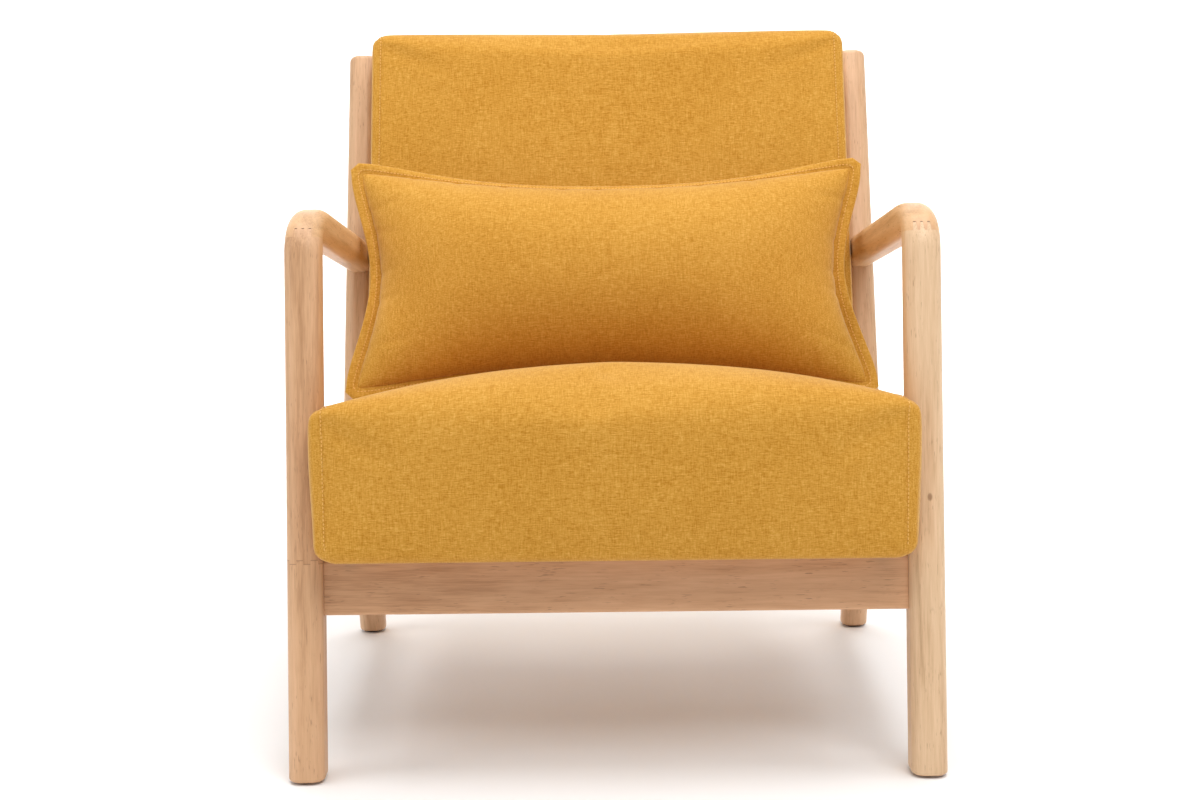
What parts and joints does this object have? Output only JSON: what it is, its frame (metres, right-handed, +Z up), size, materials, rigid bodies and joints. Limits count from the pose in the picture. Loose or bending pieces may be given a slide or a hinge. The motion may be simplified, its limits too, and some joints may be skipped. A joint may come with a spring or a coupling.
{
  "type": "wooden armchair",
  "caption": "Low lounge armchair: bent wooden side frames with sloping arms, an upholstered seat and reclined back in woven fabric, and a loose lumbar pillow.",
  "frame": {"origin": "on the floor under the centre of the bounding box", "axes": "+Z up, the chair faces -Y, +X is to the right as it is looked at from the front"},
  "size_m": [0.69, 0.7672, 0.795],
  "materials": {
    "wood": "pale rubberwood, clear satin lacquer",
    "rail_wood": "rubberwood with darker streaks, clear satin lacquer",
    "inner_wood": "plain unfinished wood, out of sight",
    "fabric": "mustard yellow linen-look weave with fine lighter and darker slubs",
    "foam": "cut upholstery foam",
    "webbing": "black elastic webbing",
    "dust_cloth": "thin black non-woven cloth",
    "steel": "zinc-plated steel",
    "glide": "dark brown plastic",
    "fill": "white non-woven case with fibre filling"
  },
  "bodies": {
    "chair": {"arm_dowel_left": "inner_wood", "arm_dowel_right": "inner_wood", "arm_left": "wood", "arm_right": "wood", "back_batten_bottom": "inner_wood", "back_batten_left": "inner_wood", "back_batten_right": "inner_wood", "back_batten_top": "inner_wood", "back_bolt_lower_left": "steel", "back_bolt_lower_right": "steel", "back_bolt_upper_left": "steel", "back_bolt_upper_right": "steel", "back_cover": "fabric", "back_foam": "foam", "back_strap_1": "webbing", "back_strap_2": "webbing", "back_strap_3": "webbing", "barrel_nut_front_left": "steel", "barrel_nut_front_right": "steel", "barrel_nut_rear_left": "steel", "barrel_nut_rear_right": "steel", "front_leg_left": "wood", "front_leg_right": "wood", "front_rail": "rail_wood", "glide_front_left": "glide", "glide_front_right": "glide", "glide_rear_left": "glide", "glide_rear_right": "glide", "rail_bolt_front_left": "steel", "rail_bolt_front_right": "steel", "rail_bolt_rear_left": "steel", "rail_bolt_rear_right": "steel", "rear_post_left": "wood", "rear_post_right": "wood", "rear_rail": "rail_wood", "seat_batten_front": "inner_wood", "seat_batten_left": "inner_wood", "seat_batten_rear": "inner_wood", "seat_batten_right": "inner_wood", "seat_cover": "fabric", "seat_dust_cover": "dust_cloth", "seat_foam": "foam", "seat_screw_front_left": "steel", "seat_screw_front_right": "steel", "seat_screw_rear_left": "steel", "seat_screw_rear_right": "steel", "seat_strap_1": "webbing", "seat_strap_2": "webbing", "seat_strap_3": "webbing", "seat_strap_4": "webbing", "side_rail_dowel_front_left": "inner_wood", "side_rail_dowel_front_right": "inner_wood", "side_rail_dowel_rear_left": "inner_wood", "side_rail_dowel_rear_right": "inner_wood", "side_rail_left": "wood", "side_rail_right": "wood"},
    "pillow": {"pillow_cover": "fabric", "pillow_insert": "fill"}
  },
  "joints": [
    {"name": "pillow_lift", "type": "slide", "parent": "chair", "child": "pillow", "axis": [0, 0, 1], "range_m": [0, 0.5]}
  ]
}
